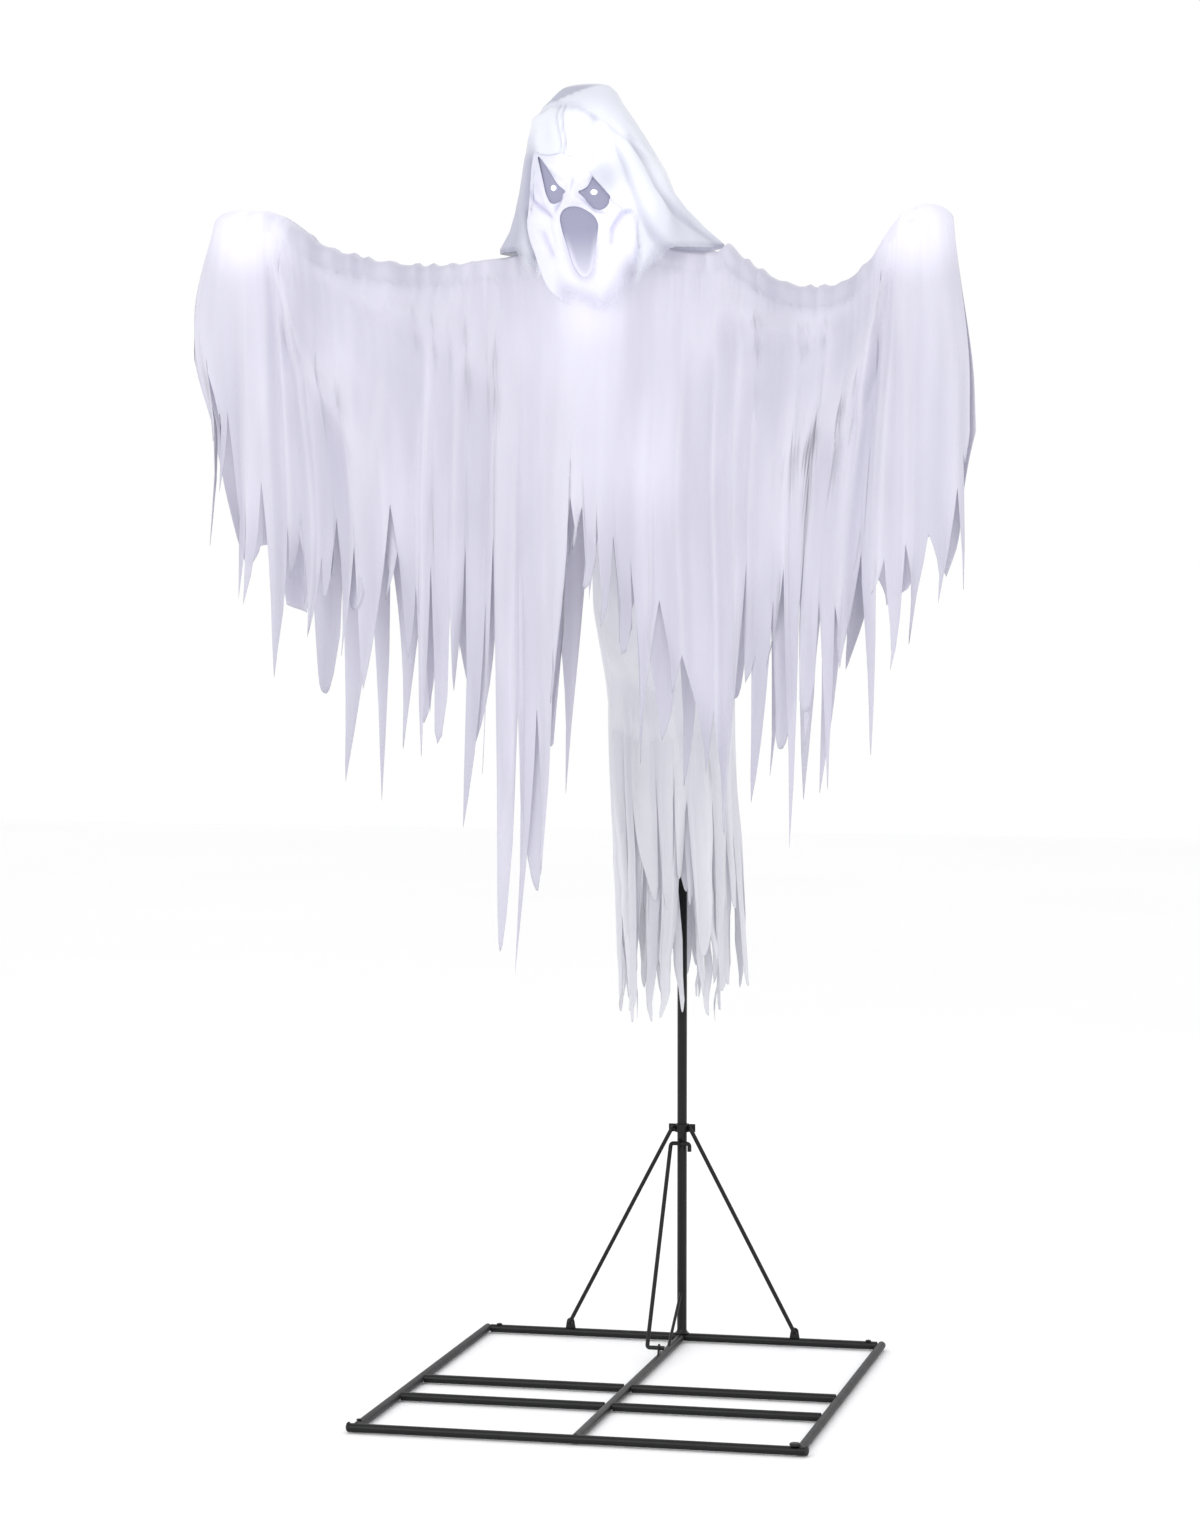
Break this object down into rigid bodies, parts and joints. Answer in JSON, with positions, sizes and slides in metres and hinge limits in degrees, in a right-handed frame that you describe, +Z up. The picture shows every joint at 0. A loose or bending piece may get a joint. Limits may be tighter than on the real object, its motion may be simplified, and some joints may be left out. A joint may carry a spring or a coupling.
{
  "type": "animated ghost figure",
  "caption": "Hooded ghost in tattered sheer cloth, hung in front of a black tube stand; figure and head turn, face and hands light up.",
  "frame": {"origin": "on the floor under the foot of the pole, in the middle of the base's rear tube", "axes": "+Z up; the ghost faces -Y and +X is at the right of someone who looks at its face"},
  "size_m": [1.5205, 1.0134, 2.442],
  "materials": {
    "black_steel": "satin black powder coat",
    "matte_steel": "dull black powder coat",
    "bolts": "blackened zinc",
    "cap_plastic": "matte black moulded plastic",
    "case_plastic": "fine matte black moulded plastic",
    "torso_plastic": "thin white blow moulded plastic",
    "mask_vinyl": "soft white vinyl",
    "screen_mesh": "grey lilac mesh",
    "lamp_lens": "frosted lens, lit cool white",
    "button_red": "satin red plastic",
    "ghost_cloth": "thin sheer white woven cloth"
  },
  "bodies": {
    "stand": {"rear_tube": "black_steel", "front_tube": "black_steel", "side_tube_left": "matte_steel", "side_tube_right": "matte_steel", "centre_tube": "black_steel", "rear_cross_tube_left": "black_steel", "rear_cross_tube_right": "black_steel", "front_cross_tube_left": "black_steel", "front_cross_tube_right": "black_steel", "front_cap_left": "cap_plastic", "front_cap_right": "cap_plastic", "corner_bolt_rear_left": "bolts", "corner_bolt_rear_right": "bolts", "corner_bolt_front_left": "bolts", "corner_knob": "cap_plastic", "pole_lower": "black_steel", "pole_upper": "black_steel", "pole_collar": "black_steel", "pole_gusset": "black_steel", "lug_left": "black_steel", "lug_right": "black_steel", "lug_front": "black_steel", "stay_left": "black_steel", "stay_right": "black_steel", "stay_front": "black_steel", "drive_housing_front": "case_plastic", "drive_housing_rear": "case_plastic"},
    "figure": {"turn_shaft": "bolts", "gooseneck_tube": "black_steel", "shoulder_bar": "black_steel", "torso_front_shell": "torso_plastic", "torso_rear_shell": "torso_plastic", "chest_lamp": "lamp_lens", "waist_lamp": "lamp_lens", "control_box": "case_plastic", "arm_rod_left": "black_steel", "arm_rod_right": "black_steel", "hand_lamp_left": "lamp_lens", "hand_lamp_right": "lamp_lens", "hand_dome_left": "torso_plastic", "hand_dome_right": "torso_plastic", "arm_casing_left": "ghost_cloth", "arm_casing_right": "ghost_cloth", "neck_drive": "case_plastic", "face_lamp": "lamp_lens", "robe_front": "ghost_cloth", "robe_back": "ghost_cloth", "sleeve_left": "ghost_cloth", "sleeve_right": "ghost_cloth", "tail_skirt": "ghost_cloth"},
    "head": {"neck_plate": "case_plastic", "head_form": "torso_plastic", "face_mask": "mask_vinyl", "eye_screen_left": "screen_mesh", "eye_screen_right": "screen_mesh", "mouth_screen": "screen_mesh", "hood": "ghost_cloth"},
    "button": {"try_me_button": "button_red"},
    "switch": {"mode_switch": "cap_plastic"}
  },
  "joints": [
    {"name": "figure_turn", "type": "hinge", "parent": "stand", "child": "figure", "pos_m": [0, 0, 1.27], "axis": [0, 0, 1], "range_deg": [-10.6, 19.4]},
    {"name": "head_turn", "type": "hinge", "parent": "figure", "child": "head", "pos_m": [-0.04603, -0.59823, 2.15], "axis": [0, 0, 1], "range_deg": [-12, 12]},
    {"name": "try_me", "type": "slide", "parent": "figure", "child": "button", "axis": [-0.0767, -0.9971, 0], "range_m": [0, 0.003], "stiffness_N_per_m": 300, "springref_m": -0.001},
    {"name": "mode_select", "type": "slide", "parent": "figure", "child": "switch", "axis": [0, 0, 1], "range_m": [0, 0.006]}
  ]
}
